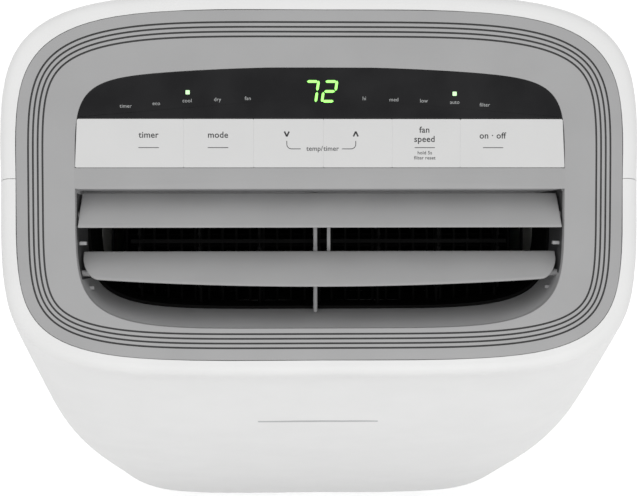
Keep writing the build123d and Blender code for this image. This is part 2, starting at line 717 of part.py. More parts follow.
def make_lines():
    """Copper lines: compressor to condenser, condenser to evaporator, evaporator back to the accumulator."""
    cx, cy = compressor_place
    condenser_end = condenser_size[0] / 2 + 3
    evaporator_end = evaporator_size[0] / 2 + 3
    step = condenser_size[2] / coil_rows * (coil_rows - 1) / 2
    c_low, c_high = condenser_centre[2] - step, condenser_centre[2] + step
    c_front, c_back = condenser_centre[1] - condenser_size[1] / 4, condenser_centre[1] + condenser_size[1] / 4
    step = evaporator_size[2] / coil_rows * (coil_rows - 1) / 2
    e_low, e_high = evaporator_centre[2] - step, evaporator_centre[2] + step
    e_front, e_back = evaporator_centre[1] - evaporator_size[1] / 4, evaporator_centre[1] + evaporator_size[1] / 4
    return Compound(children=[
        sweep_line(3.5, 9, (cx, cy, 306), (cx, cy, 322), (180, cy, 322), (180, c_back, 322), (180, c_back, c_high),
                   (condenser_end, c_back, c_high)),
        sweep_line(3.5, 7, (condenser_end, c_back, c_low), (178, c_back, c_low), (178, c_front, c_low),
                   (condenser_end, c_front, c_low)),
        sweep_line(2.5, 8, (condenser_end, c_front, c_high), (194, c_front, c_high), (194, c_front, e_low),
                   (194, e_back, e_low), (evaporator_end, e_back, e_low)),
        sweep_line(3.5, 7, (evaporator_end, e_back, e_high), (184, e_back, e_high), (184, e_front, e_high),
                   (evaporator_end, e_front, e_high)),
        sweep_line(4.0, 8, (evaporator_end, e_front, e_low), (186, e_front, e_low), (186, e_front, 350),
                   (cx, 37, 350), (cx, 37, 240)),
    ])


def make_partition(inside):
    """Floor between the cold upper half and the hot lower half, with the evaporator's drip tray."""
    z = partition_z
    floor = (Pos(0, parting_y, z) * extrude(superellipse(240, 215, -160), 3.0)) & inside
    tray = block((-174, 174), (41, 89), (z + 3, z + 11)) - block((-172, 172), (43, 87), (z, z + 20))
    floor += tray
    for x in (-110, 110):
        floor += block((x - 10, x + 10), (50, 80), (z + 3, evaporator_centre[2] - evaporator_size[2] / 2))
    floor -= rod_along_z(5.0, 194, condenser_centre[1] - condenser_size[1] / 4, (z - 5, z + 10))
    floor -= rod_along_z(7.0, 186, evaporator_centre[1] - evaporator_size[1] / 4, (z - 5, z + 10))
    floor -= rod_along_z(6.0, -60, 65, (z - 5, z + 10))
    return floor


def make_exhaust():
    """Condenser fan, its scroll and motor, the duct above it and the round hose collar at the back."""
    x, z = fan_centre
    y0, y1 = -92.0, -20.0
    wall = 2.5
    outer = rod_along_y(84, x, (y0, y1), z) + block((x - 84, x - 15), (y0, y1), (z, 301))
    inner = rod_along_y(84 - wall, x, (y0 + wall, y1 - wall), z) + block(
        (x - 84 + wall, x - 15 - wall), (y0 + wall, y1 - wall), (z, 310)
    )
    scroll = outer - inner - rod_along_y(58, x, (y1 - 10, y1 + 10), z) - rod_along_y(9, x, (y0 - 10, y0 + 10), z)
    wheel = rod_along_y(fan_radius, x, (-86, -83.5), z)
    wheel += ring_along_y(fan_radius, 54.0, x, (-32, -29.5), z)
    wheel += rod_along_y(14, x, (-86, -55), z)
    blades = []
    for i in range(20):
        blades.append(Pos(x, -57.5, z) * Rot(0, i * 18, 0) * Pos(63, 0, 0) * Rot(0, 35, 0) * Box(15, 53, 1.6))
    wheel = Part() + wheel + blades + rod_along_y(shaft_radius, x, (-120, -50), z)
    motor = rod_along_y(40, x, (-140, -92), z) + rod_along_y(16, x, (-146, -140), z)
    for turn in (45, 135, 225, 315):
        motor += Pos(x, -94.5, z) * Rot(0, turn, 0) * Pos(44, 0, 0) * Box(16, 5, 12)
    motor -= rod_along_y(shaft_radius + running_gap, x, (-121, -80), z)
    duct = block((x - 84, -13), (y0, 148), (301, 431))
    duct -= block((x - 84 + wall, -13 - wall), (y0 + wall, 150), (301 + wall, 431 - wall))
    duct -= block((x - 84 + wall, x - 15 - wall), (y0 + wall, y1 - wall), (290, 310))
    cx, cz = exhaust_centre
    collar = rod_along_y(exhaust_bore + 3, cx, (148, exhaust_end_y), cz)
    collar += block((x - 84, -13), (148, 152), (301, 431))
    collar -= rod_along_y(exhaust_bore, cx, (140, 200), cz)
    return {
        "exhaust_scroll": scroll,
        "exhaust_fan_wheel": wheel,
        "exhaust_fan_motor": motor,
        "exhaust_duct": duct,
        "exhaust_collar": collar,
    }


def make_control_box():
    box = block((-214, -182), (-120, 20), (partition_z + 3, 560))
    box -= block((-211.5, -184.5), (-117.5, 17.5), (partition_z + 6, 557.5))
    for z in range(470, 540, 10):
        box -= block((-190, -170), (-90, -20), (z - 2, z + 2))
    capacitor = rod_along_z(12, -198, -95, (partition_z + 6, 505))
    board = block((-209.5, -208), (-75, 12), (445, 552))
    relay = block((-208, -192), (-40, -20), (470, 490))
    return Compound(children=[box, capacitor, board + relay])


def make_casters():
    """Swivel casters: each fork turns in the pan's socket, each wheel on the fork's axle."""
    parts = {}
    inner = wheel_width / 2 + 0.3
    for name, (x, y) in caster_places.items():
        axle_y = y + caster_trail
        fork = rod_along_z(13.0, x, y, (38.0, pan_bottom - 0.5))
        fork += block((x - inner - 2.2, x + inner + 2.2), (y, axle_y + 6), (38.0, 42.0))
        for side in (-1, 1):
            near = side * inner
            far = side * (inner + 2.2)
            limits = (x + min(near, far), x + max(near, far))
            cheek = block(limits, (y - 6, axle_y + 5), (18.0, 38.0)) + rod_along_x(6.0, limits, axle_y, wheel_radius)
            cheek += block(limits, (axle_y - 6, axle_y + 6), (wheel_radius, 20.0))
            fork += cheek
        fork += rod_along_x(3.0, (x - inner, x + inner), axle_y, wheel_radius)
        fork += rod_along_z(stem_radius, x, y, (pan_bottom - 1, 68.0))
        wheel = rod_along_x(wheel_radius, (x - wheel_width / 2, x + wheel_width / 2), axle_y, wheel_radius)
        for side in (-1, 1):
            face = x + side * wheel_width / 2
            wheel -= rod_along_x(11.5, (face - 2.5, face + 2.5), axle_y, wheel_radius) - rod_along_x(
                5.5, (face - 5, face + 5), axle_y, wheel_radius
            )
        wheel = fillet(wheel.edges().filter_by(GeomType.CIRCLE).filter_by(
            lambda edge: abs(edge.radius - wheel_radius) < 0.01), 2.0)
        wheel -= rod_along_x(3.0 + running_gap, (x - 20, x + 20), axle_y, wheel_radius)
        parts["caster_fork_" + name] = fork
        parts["caster_wheel_" + name] = wheel
    return parts


def make_parts():
    inside = housing_solid(shell_wall + 0.15)
    parts = make_housing()
    parts["top_panel"] = make_top_panel()
    parts["display_window"] = make_display_window()
    parts["display_board"] = make_display_board()
    parts["display_lamps"] = make_display_lamps()
    parts.update(make_keys())
    parts["outlet_surround"] = make_outlet_surround()
    parts["outlet_duct"] = make_outlet_duct()
    parts.update(make_blades())
    parts.update(make_vanes())
    parts.update(make_filters())
    parts.update(make_coils())
    parts.update(make_blower())
    parts.update(make_base(inside))
    parts["cord_gland"] = make_gland()
    parts.update(make_compressor())
    parts["refrigerant_lines"] = make_lines()
    parts["partition"] = make_partition(inside)
    parts.update(make_exhaust())
    parts["control_box"] = make_control_box()
    parts.update(make_casters())
    return parts


os.makedirs("parts", exist_ok=True)
parts = make_parts()
for name, shape in parts.items():
    solids = list(shape.solids())
    shape = solids[0] if len(solids) == 1 else Compound(children=solids)
    shape.label = name
    export_step(shape, f"parts/{name}.step")
    print(name, len(solids), "solids", round(sum(s.volume for s in solids)), "mm3", all(s.is_valid for s in solids))
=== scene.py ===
import json
from math import cos, pi, radians, sin
import bmesh
import bpy
import numpy as np
from mathutils import Matrix, Vector


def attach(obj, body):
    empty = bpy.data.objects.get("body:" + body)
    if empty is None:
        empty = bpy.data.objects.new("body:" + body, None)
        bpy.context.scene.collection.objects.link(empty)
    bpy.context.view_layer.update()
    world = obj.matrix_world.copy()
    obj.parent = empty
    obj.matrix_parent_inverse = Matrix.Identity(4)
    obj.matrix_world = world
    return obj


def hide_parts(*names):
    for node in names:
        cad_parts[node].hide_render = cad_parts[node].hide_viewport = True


# A portable room air conditioner: smooth housing, grooved panel, keys, readout, louvre blades and casters.
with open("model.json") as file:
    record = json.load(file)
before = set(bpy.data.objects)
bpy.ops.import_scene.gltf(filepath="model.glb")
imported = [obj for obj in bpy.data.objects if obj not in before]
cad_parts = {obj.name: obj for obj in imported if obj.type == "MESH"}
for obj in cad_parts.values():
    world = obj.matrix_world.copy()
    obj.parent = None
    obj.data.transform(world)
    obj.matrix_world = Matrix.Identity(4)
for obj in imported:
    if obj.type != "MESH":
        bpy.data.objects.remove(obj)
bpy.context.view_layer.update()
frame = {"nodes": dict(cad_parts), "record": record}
nodes = frame["nodes"]
mm = 0.001

# ---- working in the panel's own plane ----
panel = {"tilt": 22.0, "y": -40.0, "z": 694.0}  # the panel leans towards the user by this tilt


def panelToRow(points):
    # (u, v, w) in mm to row metres: turned by the tilt about X, then moved to the panel's centre
    p = np.asarray(points, float)
    c, s = cos(radians(panel["tilt"])), sin(radians(panel["tilt"]))
    u, v, w = p[..., 0], p[..., 1], p[..., 2]
    return np.stack([u, panel["y"] + v * c - w * s, panel["z"] + v * s + w * c], -1) * mm


def rowPoints(points):
    return np.asarray(points, float) * mm


# ---- outlines: closed curves of (n, 2) points, counter-clockwise ----
def resample(points, count):
    # walks once round the closed polyline in equal steps of arc length
    loop = np.vstack([points, points[:1]])
    length = np.concatenate([[0], np.cumsum(np.linalg.norm(np.diff(loop, axis=0), axis=1))])
    at = np.linspace(0, length[-1], count, endpoint=False)
    return np.stack([np.interp(at, length, loop[:, k]) for k in range(2)], -1)


def superOutline(halfWidth, back, front, backPower, frontPower, count):
    # radius at angle a where |x/halfWidth|^p + |y/reach|^p = 1; front and back have their own reach and power
    a = np.linspace(0, 2 * pi, 4 * count, endpoint=False)
    reach = np.where(np.sin(a) >= 0, back, front)
    p = np.where(np.sin(a) >= 0, backPower, frontPower)
    r = (np.abs(np.cos(a) / halfWidth) ** p + np.abs(np.sin(a) / reach) ** p) ** (-1 / p)
    return resample(np.stack([r * np.cos(a), r * np.sin(a)], -1), count)


def roundedPolygon(corners, radius, count):
    # each corner is swapped for a quadratic arc that starts and ends radius away from it
    c = np.asarray(corners, float)
    before = c - np.roll(c, 1, 0)
    after = np.roll(c, -1, 0) - c
    beforeLength, afterLength = np.linalg.norm(before, axis=1), np.linalg.norm(after, axis=1)
    r = np.minimum(radius, 0.45 * np.minimum(beforeLength, afterLength))[:, None]
    start = c - before / beforeLength[:, None] * r
    end = c + after / afterLength[:, None] * r
    t = np.linspace(0, 1, 6)[None, :, None]
    arcs = (1 - t) ** 2 * start[:, None] + 2 * t * (1 - t) * c[:, None] + t**2 * end[:, None]
    return resample(arcs.reshape(-1, 2), count)


def circle(centre, radius, count):
    a = np.linspace(0, 2 * pi, count, endpoint=False)
    return np.stack([centre[0] + radius * np.cos(a), centre[1] + radius * np.sin(a)], -1)


def drawnIn(outline, inset):
    # every point moves inwards by inset along the outline's normal
    tangent = np.roll(outline, -1, 0) - np.roll(outline, 1, 0)
    tangent /= np.linalg.norm(tangent, axis=1)[:, None]
    return outline + np.stack([-tangent[:, 1], tangent[:, 0]], -1) * inset


# the control field, in mm from the panel's centre: outline, key row, window's and outlet's edges
field = {"half": 178.5, "top": 86.2, "arc": 3170.0, "topPower": 12, "bottom": 104.2, "bottomPower": 5.4,
         "key": (13.4, 48.6), "window": 48.9, "outlet": -2.2}


def fieldTop(u):
    # a shallow arc times a superellipse falling edge: the arched top of the control field
    edge = np.maximum(0, 1 - np.abs(u / field["half"]) ** field["topPower"]) ** 0.2
    return (field["top"] - u**2 / field["arc"]) * edge


def fieldSide(v):
    # half width of the field at height v, read back from the arched top
    u = np.linspace(150, field["half"], 400)
    return np.interp(-v, -fieldTop(u), u)


def fieldOutline(count):
    # the arched top, then a superellipse round the bottom
    a = np.linspace(0, pi, 800)
    u = field["half"] * np.sign(np.cos(a)) * np.abs(np.cos(a)) ** 0.25
    top = np.stack([u, fieldTop(u)], -1)
    b = np.linspace(pi, 2 * pi, 800)[1:-1]
    p = field["bottomPower"]
    r = (np.abs(np.cos(b) / field["half"]) ** p + np.abs(np.sin(b) / field["bottom"]) ** p) ** (-1 / p)
    return resample(np.vstack([top, np.stack([r * np.cos(b), r * np.sin(b)], -1)]), count)


# ---- meshes ----
def ringFaces(rows, count, loop=False):
    # quads between neighbouring rings of count points; loop also joins the last ring to the first
    i = np.arange(rows if loop else rows - 1)[:, None]
    j = np.arange(count)[None, :]
    a, b = i * count + j, i * count + (j + 1) % count
    d = (i + 1) % rows * count + j
    e = (i + 1) % rows * count + (j + 1) % count
    return np.stack([a, b, e, d], -1).reshape(-1, 4)


def level(outline, height):
    return np.column_stack([outline, np.full(len(outline), height)])


class Shape:
    # gathers points and faces of several closed surfaces into one piece, with a material slot for each face
    def __init__(self):
        self.points, self.faces, self.slots = [], [], []

    def add(self, points, faces, slots=None):
        start = sum(len(p) for p in self.points)
        self.points.append(np.asarray(points, float).reshape(-1, 3))
        self.faces += [tuple(int(k) + start for k in f) for f in faces]
        self.slots += [0] * len(faces) if slots is None else [int(k) for k in slots]
        return self

    def rings(self, rings, loop=False, slots=None):
        # rings is (m, n, 3); open stacks are closed by a fan round the middle of their first and last ring
        m, n = rings.shape[:2]
        points = rings.reshape(-1, 3)
        faces = [tuple(f) for f in ringFaces(m, n, loop)]
        if not loop:
            points = np.vstack([points, rings[0].mean(0), rings[-1].mean(0)])
            faces += [((j + 1) % n, j, m * n) for j in range(n)]
            faces += [((m - 1) * n + j, (m - 1) * n + (j + 1) % n, m * n + 1) for j in range(n)]
        return self.add(points, faces, slots)

    def plate(self, outline, profile, place=panelToRow):
        # profile is (inset, height) from the underside's edge, up the wall and over the rounded rim
        rings = [level(drawnIn(outline, inset), height) for inset, height in profile]
        return self.rings(place(np.stack(rings)))


def finishObject(name, shape, materials, body, slotName, *replaced, angle=32):
    # the shape as one object: merged, outward normals, sharp past the angle, riding its body
    mesh = bpy.data.meshes.new(name)
    mesh.from_pydata(np.vstack(shape.points).tolist(), [], shape.faces)
    mesh.polygons.foreach_set("material_index", np.array(shape.slots, np.int32))
    work = bmesh.new()
    work.from_mesh(mesh)
    bmesh.ops.remove_doubles(work, verts=work.verts, dist=2e-6)
    bmesh.ops.dissolve_degenerate(work, edges=work.edges, dist=1e-6)
    bmesh.ops.recalc_face_normals(work, faces=work.faces)
    work.to_mesh(mesh)
    work.free()
    mesh.polygons.foreach_set("use_smooth", np.ones(len(mesh.polygons), bool))
    mesh.set_sharp_from_angle(angle=radians(angle))
    for material in materials if isinstance(materials, tuple) else (materials,):
        mesh.materials.append(material)
    obj = bpy.data.objects.new(name, mesh)
    bpy.context.scene.collection.objects.link(obj)
    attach(obj, body)
    if replaced:
        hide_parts(*replaced)
    return obj


# ---- finishes ----
def finish(name, colour, roughness, grainSize=900, bump=0.15, depth=0.00004, metal=0.0, coat=0.0, spread=0.03,
           specular=0.5):
    # moulded or pressed surface: fine grain in the bump, faint blotches in colour, handling marks in roughness
    blotch, darken, scatter = 25.0, 0.006, 0.06
    m = bpy.data.materials.new(name)
    m.use_nodes = True
    t = m.node_tree
    t.nodes.clear()
    out = t.nodes.new("ShaderNodeOutputMaterial")
    shader = t.nodes.new("ShaderNodeBsdfPrincipled")
    shader.inputs["Metallic"].default_value = metal
    shader.inputs["Coat Weight"].default_value = coat
    shader.inputs["Coat Roughness"].default_value = 0.08
    shader.inputs["Specular IOR Level"].default_value = specular
    place = t.nodes.new("ShaderNodeTexCoord")
    fine = t.nodes.new("ShaderNodeTexNoise")
    fine.inputs["Scale"].default_value = grainSize
    fine.inputs["Detail"].default_value = 3
    broad = t.nodes.new("ShaderNodeTexNoise")
    broad.inputs["Scale"].default_value = blotch
    broad.inputs["Detail"].default_value = 4
    marks = t.nodes.new("ShaderNodeTexNoise")
    marks.inputs["Scale"].default_value = blotch * 5
    marks.inputs["Detail"].default_value = 6
    for n in (fine, broad, marks):
        t.links.new(place.outputs["Object"], n.inputs["Vector"])
    ramp = t.nodes.new("ShaderNodeValToRGB")
    low = [max(0, c * (1 - spread) - darken) for c in colour]
    high = [min(1, c * (1 + spread)) for c in colour]
    ramp.color_ramp.elements[0].position, ramp.color_ramp.elements[1].position = 0.35, 0.65
    ramp.color_ramp.elements[0].color = (*low, 1)
    ramp.color_ramp.elements[1].color = (*high, 1)
    t.links.new(broad.outputs["Fac"], ramp.inputs["Fac"])
    rough = t.nodes.new("ShaderNodeMapRange")
    rough.inputs["To Min"].default_value = max(0.02, roughness - scatter)
    rough.inputs["To Max"].default_value = min(1, roughness + scatter)
    t.links.new(marks.outputs["Fac"], rough.inputs["Value"])
    lift = t.nodes.new("ShaderNodeBump")
    lift.inputs["Strength"].default_value = bump
    lift.inputs["Distance"].default_value = depth
    t.links.new(fine.outputs["Fac"], lift.inputs["Height"])
    t.links.new(ramp.outputs["Color"], shader.inputs["Base Color"])
    t.links.new(rough.outputs["Result"], shader.inputs["Roughness"])
    t.links.new(lift.outputs["Normal"], shader.inputs["Normal"])
    t.links.new(shader.outputs["BSDF"], out.inputs["Surface"])
    return m


def glow(name, colour, strength):
    # a finish that also gives off its own colour
    m = finish(name, colour, 0.5, bump=0.05)
    shader = next(n for n in m.node_tree.nodes if n.type == "BSDF_PRINCIPLED")
    shader.inputs["Emission Color"].default_value = (*colour, 1)
    shader.inputs["Emission Strength"].default_value = strength
    return m


shellWhite = finish("shellWhite", (0.80, 0.80, 0.797), 0.42, grainSize=1400, bump=0.12, spread=0.008)
panelGrey = finish("panelGrey", (0.375, 0.375, 0.377), 0.5, grainSize=1600, bump=0.25, spread=0.012,
                   depth=0.00005)
# painted shade: near-black for the walls and floors of the panel's grooves, standing in for the shade in the
# creases
paintedGrooveShade = finish("paintedGrooveShade", (0.06, 0.06, 0.061), 0.55, grainSize=1600, bump=0.2, spread=0.02)
windowBlack = finish("windowBlack", (0.010, 0.010, 0.011), 0.2, grainSize=300, bump=0.02, spread=0.05,
                     specular=0.22)
keyWhite = finish("keyWhite", (0.66, 0.66, 0.657), 0.4, grainSize=1500, bump=0.1, spread=0.008)
bladeGrey = finish("bladeGrey", (0.35, 0.35, 0.352), 0.42, grainSize=1500, bump=0.15, spread=0.015)
recessGrey = finish("recessGrey", (0.43, 0.43, 0.435), 0.5, grainSize=1400, bump=0.2, spread=0.02)
# painted shade: near-black for the recess's side walls, standing in for the shade that falls on them
cheekGrey = finish("cheekGrey", (0.07, 0.07, 0.072), 0.5, grainSize=1400, bump=0.2, spread=0.02)
ductBlack = finish("ductBlack", (0.003, 0.003, 0.003), 0.65, grainSize=800, bump=0.2, spread=0.05,
                   specular=0.12)
cupGrey = finish("cupGrey", (0.42, 0.42, 0.42), 0.5, grainSize=1200, bump=0.25, spread=0.02)
boardGreen = finish("boardGreen", (0.02, 0.12, 0.05), 0.35, grainSize=400, bump=0.2, spread=0.1)
filterGrey = finish("filterGrey", (0.06, 0.06, 0.065), 0.8, grainSize=1800, bump=0.9, depth=0.0003,
                    spread=0.08)
finAluminium = finish("finAluminium", (0.72, 0.73, 0.74), 0.32, metal=1.0, grainSize=700, bump=0.2,
                      spread=0.04)
tubeCopper = finish("tubeCopper", (0.70, 0.36, 0.22), 0.3, metal=1.0, grainSize=500, bump=0.15, spread=0.12)
zincPlate = finish("zincPlate", (0.55, 0.56, 0.57), 0.38, metal=1.0, grainSize=300, bump=0.2, spread=0.1)
compressorBlack = finish("compressorBlack", (0.015, 0.015, 0.016), 0.35, grainSize=500, bump=0.3, coat=0.3,
                         spread=0.1)
rubberBlack = finish("rubberBlack", (0.018, 0.018, 0.018), 0.75, grainSize=900, bump=0.4, spread=0.1)
innerPlastic = finish("innerPlastic", (0.55, 0.55, 0.53), 0.5, grainSize=900, bump=0.2, spread=0.03)
casterGrey = finish("casterGrey", (0.05, 0.05, 0.052), 0.45, grainSize=900, bump=0.3, spread=0.06)
screwSteel = finish("screwSteel", (0.5, 0.5, 0.5), 0.3, metal=1.0, grainSize=600, bump=0.2, spread=0.1)
labelDim = finish("labelDim", (0.40, 0.41, 0.41), 0.5, bump=0.03, spread=0.01)
labelGrey = finish("labelGrey", (0.09, 0.09, 0.093), 0.5, bump=0.03, spread=0.02)
labelDark = finish("labelDark", (0.03, 0.03, 0.032), 0.5, bump=0.03, spread=0.02)
badgeGrey = finish("badgeGrey", (0.40, 0.40, 0.41), 0.35, bump=0.05, spread=0.02)
lampGreen = glow("lampGreen", (0.30, 0.95, 0.16), 1.05)
lampPale = glow("lampPale", (0.48, 0.80, 0.42), 0.75)
lampDark = finish("lampDark", (0.05, 0.09, 0.06), 0.3, bump=0.05, spread=0.05)
print("finishes ready")

# each material slot of the record with its finish, for the nodes that stay as they are
cadFinishes = {
    "shell_white": shellWhite, "panel_grey": panelGrey, "window_black": windowBlack, "key_white": keyWhite,
    "circuit_board": boardGreen, "lamp": lampDark, "recess_grey": cupGrey, "duct_black": ductBlack,
    "blade_grey": bladeGrey, "filter_grey": filterGrey, "fin_aluminium": finAluminium, "copper": tubeCopper,
    "zinc_plate": zincPlate, "compressor_black": compressorBlack, "rubber_black": rubberBlack,
    "inner_plastic": innerPlastic, "foam_grey": cupGrey, "caster_grey": casterGrey, "screw_steel": screwSteel,
}
for part in frame["record"]["subparts"]:
    mesh = nodes[part["node"]].data
    mesh.materials.clear()
    mesh.materials.append(cadFinishes[part["material_slot"]])

nodes["louvre_link"].data.materials[0] = bladeGrey  # the link shows between the blades and has their tone

# ---- the grooved panel ----
panelShape = {"half": 221.0, "reach": 127.5, "powers": (4.4, 5.0), "plate": 3.0, "depth": 7.0, "skirt": 7.5,
              "grooves": (8.9, 12.35, 15.8, 19.25), "grooveWidth": 1.3, "grooveDepth": 1.0, "points": 360}


def makePanel():
    # one closed ring section: rounded rim, four grooves, down round the field's edge and back under the skirt
    s = panelShape
    outer = superOutline(s["half"], s["reach"], s["reach"], *s["powers"], s["points"])
    inner = fieldOutline(s["points"])
    profile = [(0.0, -0.7), (0.08, -0.3), (0.3, -0.08), (0.7, 0.0)]
    half = s["grooveWidth"] / 2
    paintedShadeGrooveRows = []
    for g in s["grooves"]:
        paintedShadeGrooveRows += range(len(profile) + 1, len(profile) + 4)
        profile += [(g - half - 0.12, 0.0), (g - half, -0.12), (g - half + 0.08, -s["grooveDepth"]),
                    (g + half - 0.08, -s["grooveDepth"]), (g + half, -0.12), (g + half + 0.12, 0.0)]
    profile.append((21.4, 0.0))
    fieldEdge = ((-0.5, 0.0), (-0.12, -0.1), (0.0, -0.45), (0.0, -s["depth"]))
    under = drawnIn(outer, s["skirt"])
    rings = [level(drawnIn(outer, inset), w) for inset, w in profile]
    rings += [level(drawnIn(inner, inset), w) for inset, w in fieldEdge]
    rings += [level(under, -s["depth"]), level(under, -s["plate"]), level(outer, -s["plate"])]
    slots = np.zeros((len(rings), s["points"]), int)
    # the groove walls and floors take the near-black finish: painted shade in the grooves
    slots[paintedShadeGrooveRows] = 1
    shape = Shape().rings(panelToRow(np.stack(rings)), loop=True, slots=slots.ravel())
    # the band between the keys and the outlet, a little past the field on both sides
    low, high, half = field["outlet"], field["key"][0] - 0.25, field["half"] + 0.7
    band = roundedPolygon([(-half, low), (half, low), (half, high), (-half, high)], 0.4, 200)
    shape.plate(band, [(0, -s["depth"]), (0, -0.6), (0.12, -0.18), (0.5, 0.0)])
    finishObject("groovedPanel", shape, (panelGrey, paintedGrooveShade), "housing", "panel_grey", "top_panel")


makePanel()
print("panel done")

# ---- window, keys and their lettering ----
controls = {"seams": (-99.75, -48.9, 1.85, 51.95, 101.7), "gap": 0.03, "thick": 2.2}
keyNames = ("timer", "mode", "temp_down", "temp_up", "fan_speed", "power")


def makeWindow():
    # the field's arched top, cut straight above the keys
    half = 176.2
    u = np.linspace(half, -half, 1200)
    arch = np.stack([u, np.maximum(fieldTop(u), field["window"])], -1)
    foot = [(0.2 - half, field["window"]), (half - 0.2, field["window"])]
    loop = np.vstack([foot, arch])
    outline = drawnIn(resample(loop, 420), 0.15)
    shape = Shape().plate(outline, [(0, -3.4), (0, -0.5), (0.1, -0.15), (0.4, -0.02), (1.2, 0.02)])
    finishObject("controlWindow", shape, windowBlack, "housing", "window_black", "display_window")


def makeKeys():
    # straight seams between the keys, and the field's own sides at the two ends of the row
    low, high = field["key"]
    edges = [None, *controls["seams"], None]
    v = np.linspace(low, high, 12)
    side = fieldSide(v) - 0.15
    for k, name in enumerate(keyNames):
        left = -side if edges[k] is None else np.full(12, edges[k] + controls["gap"] / 2)
        right = side if edges[k + 1] is None else np.full(12, edges[k + 1] - controls["gap"] / 2)
        loop = np.vstack([np.stack([right, v], -1), np.stack([left[::-1], v[::-1]], -1)])
        corners = roundedPolygon(loop[[0, 11, 12, 23]], 0.15, 160)
        rim = [(0, -0.03), (0.01, -0.01), (0.03, 0.0), (0.5, 0.0)]
        shape = Shape().plate(corners, [(0, -controls["thick"]), *rim])
        finishObject("key_cap_" + name, shape, keyWhite, "key_" + name, "key_white", "key_" + name)


def makeLabel(name, words, place, size, material, body, slotName, align="CENTER", weight=0.0):
    # letters as a thin solid lying on the panel at place (u, v); weight fattens every stroke
    curve = bpy.data.curves.new(name, "FONT")
    curve.body, curve.size, curve.offset = words, size, weight
    curve.align_x, curve.align_y = align, "CENTER"
    curve.extrude = 0.02
    curve.resolution_u = 4
    curve.space_character = 1.04
    draft = bpy.data.objects.new(name + "_draft", curve)
    bpy.context.scene.collection.objects.link(draft)
    bpy.context.view_layer.update()
    drawn = bpy.data.meshes.new_from_object(draft.evaluated_get(bpy.context.evaluated_depsgraph_get()))
    bpy.data.objects.remove(draft)
    corners = np.empty(3 * len(drawn.vertices))
    drawn.vertices.foreach_get("co", corners)
    points = panelToRow(corners.reshape(-1, 3) + np.array([*place, labels["lift"]]))
    shape = Shape().add(points, [tuple(f.vertices) for f in drawn.polygons])
    finishObject(name, shape, material, body, slotName)


def stroke(shape, line, width):
    # a flat band of even width along the line of (u, v) points, square at its ends
    line = np.asarray(line, float)
    along = np.gradient(line, axis=0)
    along /= np.linalg.norm(along, axis=1)[:, None]
    across = np.stack([-along[:, 1], along[:, 0]], -1) * width / 2
    outline = np.vstack([line - across, (line + across)[::-1]])
    rim = [np.column_stack([outline, np.full(len(outline), labels["lift"] + w)]) for w in (-0.02, 0.02)]
    n = len(outline)
    half = n // 2
    points = panelToRow(np.vstack(rim))
    faces = [tuple(f) for f in ringFaces(2, n)]
    faces += [(n + j, n + j + 1, 2 * n - 2 - j, 2 * n - 1 - j) for j in range(half - 1)]
    faces += [(j + 1, j, n - 1 - j, n - 2 - j) for j in range(half - 1)]
    shape.add(points, faces)


labels = {
    "window": (("timer", -141.4, 57.8), ("eco", -119.3, 59.7), ("cool", -97.0, 61.7), ("dry", -75.0, 62.6),
               ("fan", -53.0, 63.4), ("hi", 31.6, 63.4), ("med", 53.2, 62.6), ("low", 75.0, 61.8),
               ("auto", 97.6, 60.8), ("filter", 119.6, 58.9)),
    # words, key, place, size and side they are set from
    "key": (("timer", "timer", -125.0, 36.9, 6.3, "CENTER"), ("mode", "mode", -74.8, 36.9, 6.3, "CENTER"),
            ("fan", "fan_speed", 75.6, 40.6, 6.3, "CENTER"),
            ("speed", "fan_speed", 75.6, 33.9, 6.3, "CENTER"),
            ("on · off", "power", 125.4, 36.4, 6.3, "CENTER"),
            ("temp/", "temp_down", 1.4, 27.0, 4.9, "RIGHT"), ("timer", "temp_up", 1.9, 27.0, 4.9, "LEFT"),
            ("hold 5s", "fan_speed", 75.8, 24.0, 3.5, "CENTER"),
            ("filter reset", "fan_speed", 75.8, 20.3, 3.5, "CENTER")),
    "underlines": (("timer", -125.0), ("mode", -74.8), ("fan_speed", 75.8), ("power", 125.8)),
    "windowSize": 3.8, "underline": (27.8, 7.4, 0.55),  # underline: height, half length and width
    "arrow": (37.7, 1.7, 1.8, 1.15),  # height, half width, half height and stroke
    # key, place, way the arrow points and way to the caption
    "arrows": (("temp_down", -24.8, -1, 1), ("temp_up", 25.4, 1, -1)),
    "bracket": (32.7, 26.9, 3.4, 10.1, 0.55),  # top, bottom, corner radius, reach and stroke
    "lift": 0.04, "weight": 0.012,  # height over the key, and stroke fattening as a share of the size
}


def makeArrow(key, u, point, inwards):
    # a chevron over a bracket: down, round a quarter circle and along towards the caption
    height, halfWidth, halfHeight, width = labels["arrow"]
    mark = Shape()
    for side in (-1, 1):
        foot, tip = (u + side * halfWidth, height - point * halfHeight), (u, height + point * halfHeight)
        stroke(mark, [foot, tip], width)
    finishObject("arrow_" + key, mark, labelDark, "key_" + key, "duct_black")
    top, bottom, radius, reach, width = labels["bracket"]
    a = np.linspace(0, pi / 2, 9)
    bend = np.stack([u + inwards * radius * (1 - np.cos(a)), bottom + radius * (1 - np.sin(a))], -1)
    line = Shape()
    stroke(line, np.vstack([[(u, top)], bend, [(u + inwards * reach, bottom)]]), width)
    finishObject("bracket_" + key, line, labelGrey, "key_" + key, "duct_black")


